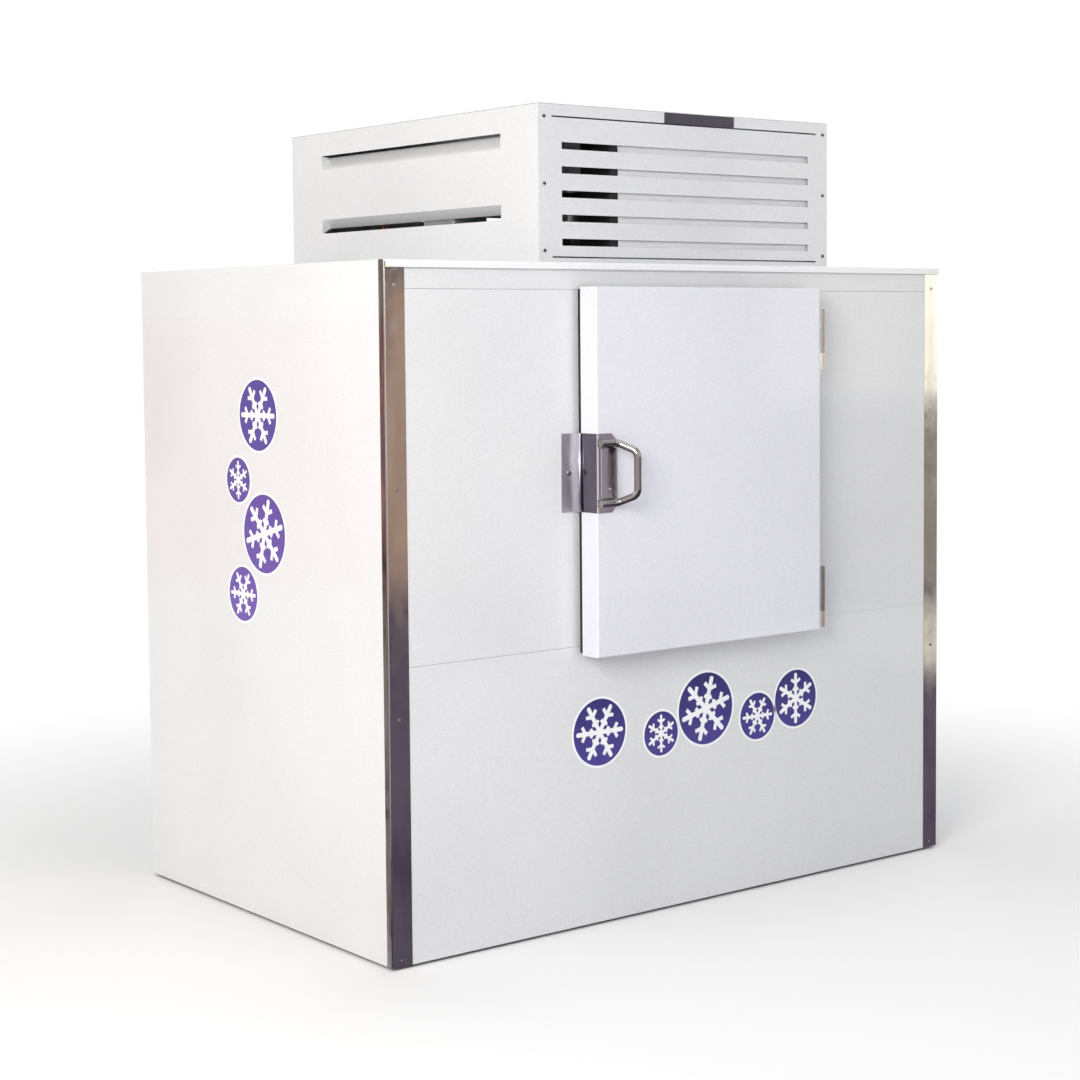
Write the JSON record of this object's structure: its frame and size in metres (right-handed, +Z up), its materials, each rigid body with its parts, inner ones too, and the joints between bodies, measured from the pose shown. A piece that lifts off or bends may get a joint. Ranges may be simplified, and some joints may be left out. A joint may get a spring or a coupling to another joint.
{
  "type": "ice merchandiser",
  "caption": "Insulated bagged-ice cabinet with a side-hinged front door, stainless corner posts and latch, and a slotted roof housing over its refrigeration unit.",
  "frame": {"origin": "on the floor, under the middle of the cabinet body, on the middle skid", "axes": "+X to the right along the front, -Y out of the front, +Z up"},
  "size_m": [1.524, 1.07, 1.652],
  "materials": {
    "white_enamel": "smooth white baked enamel on sheet steel",
    "galvanised_steel": "plain galvanised sheet with a dull sheen",
    "stainless_steel": "bright stainless steel, lightly brushed",
    "plated_screws": "zinc-plated steel, dulled",
    "insulation_foam": "rigid yellow foam, matt",
    "liner_aluminium": "plain aluminium sheet",
    "white_plastic": "smooth white moulded plastic",
    "magnetic_gasket": "soft black rubber, matt",
    "rack_plastic": "grey plastic slats",
    "compressor_black": "black paint, semi-gloss",
    "foot_rubber": "black rubber",
    "coil_fins": "bare aluminium fins on copper tube",
    "motor_grey": "dark grey paint",
    "fan_aluminium": "pressed aluminium blades",
    "fan_plastic": "black plastic blades",
    "copper_tube": "drawn copper tube, slightly dulled",
    "box_grey": "grey painted sheet box",
    "knob_plastic": "black plastic"
  },
  "bodies": {
    "cabinet": {"back_insulation": "insulation_foam", "back_panel": "galvanised_steel", "base_pan": "galvanised_steel", "base_skids": "galvanised_steel", "cabinet_screws": "plated_screws", "ceiling_insulation": "insulation_foam", "compressor": "compressor_black", "compressor_feet": "foot_rubber", "condensate_line": "copper_tube", "condenser_coil": "coil_fins", "condenser_fan_motor": "motor_grey", "discharge_line": "copper_tube", "door_breaker_frame": "white_plastic", "drain_pan": "liner_aluminium", "drain_tube": "white_plastic", "electrical_box": "box_grey", "evaporator_coil": "coil_fins", "evaporator_housing": "galvanised_steel", "evaporator_motors": "motor_grey", "fan_shroud": "galvanised_steel", "filter_drier": "copper_tube", "floor_insulation": "insulation_foam", "floor_rack": "rack_plastic", "front_insulation": "insulation_foam", "grille_panel": "white_enamel", "header_panel": "white_enamel", "hinge_brackets": "stainless_steel", "hinge_pins": "stainless_steel", "housing_back_panel": "galvanised_steel", "housing_left_panel": "white_enamel", "housing_lid": "galvanised_steel", "housing_right_panel": "white_enamel", "inner_liner": "liner_aluminium", "left_corner_post": "stainless_steel", "left_front_panel": "white_enamel", "left_insulation": "insulation_foam", "left_side_panel": "white_enamel", "liquid_line": "copper_tube", "lower_front_panel": "white_enamel", "receiver": "compressor_black", "right_corner_post": "stainless_steel", "right_front_panel": "white_enamel", "right_insulation": "insulation_foam", "right_side_panel": "white_enamel", "strike_plate": "stainless_steel", "suction_line": "copper_tube", "supply_gland": "knob_plastic", "top_cover": "white_enamel", "unit_base": "galvanised_steel"},
    "door": {"door_shell": "white_enamel", "door_insulation": "insulation_foam", "door_liner": "white_plastic", "door_gasket": "magnetic_gasket", "hinge_door_leaves": "stainless_steel", "latch_bracket": "stainless_steel", "door_pull": "stainless_steel"},
    "condenser_fan_rotor": {"condenser_fan": "fan_aluminium"},
    "evaporator_fan_left_rotor": {"evaporator_fan_left": "fan_plastic"},
    "evaporator_fan_right_rotor": {"evaporator_fan_right": "fan_plastic"},
    "thermostat_knob_body": {"thermostat_knob": "knob_plastic"}
  },
  "joints": [
    {"name": "door_hinge", "type": "hinge", "parent": "cabinet", "child": "door", "pos_m": [0.329, -0.5265, 0.925], "axis": [0, 0, 1], "range_deg": [0, 120]},
    {"name": "condenser_fan_spin", "type": "hinge", "parent": "cabinet", "child": "condenser_fan_rotor", "pos_m": [0.0845, -0.3, 1.484], "axis": [0, 1, 0], "continuous": true},
    {"name": "evaporator_fan_left_spin", "type": "hinge", "parent": "cabinet", "child": "evaporator_fan_left_rotor", "pos_m": [-0.15, 0.13, 1.199], "axis": [0, 1, 0], "continuous": true},
    {"name": "evaporator_fan_right_spin", "type": "hinge", "parent": "cabinet", "child": "evaporator_fan_right_rotor", "pos_m": [0.15, 0.13, 1.199], "axis": [0, 1, 0], "continuous": true},
    {"name": "thermostat_turn", "type": "hinge", "parent": "cabinet", "child": "thermostat_knob_body", "pos_m": [-0.3078, -0.15, 1.4598], "axis": [0, 1, 0], "range_deg": [0, 270]}
  ]
}
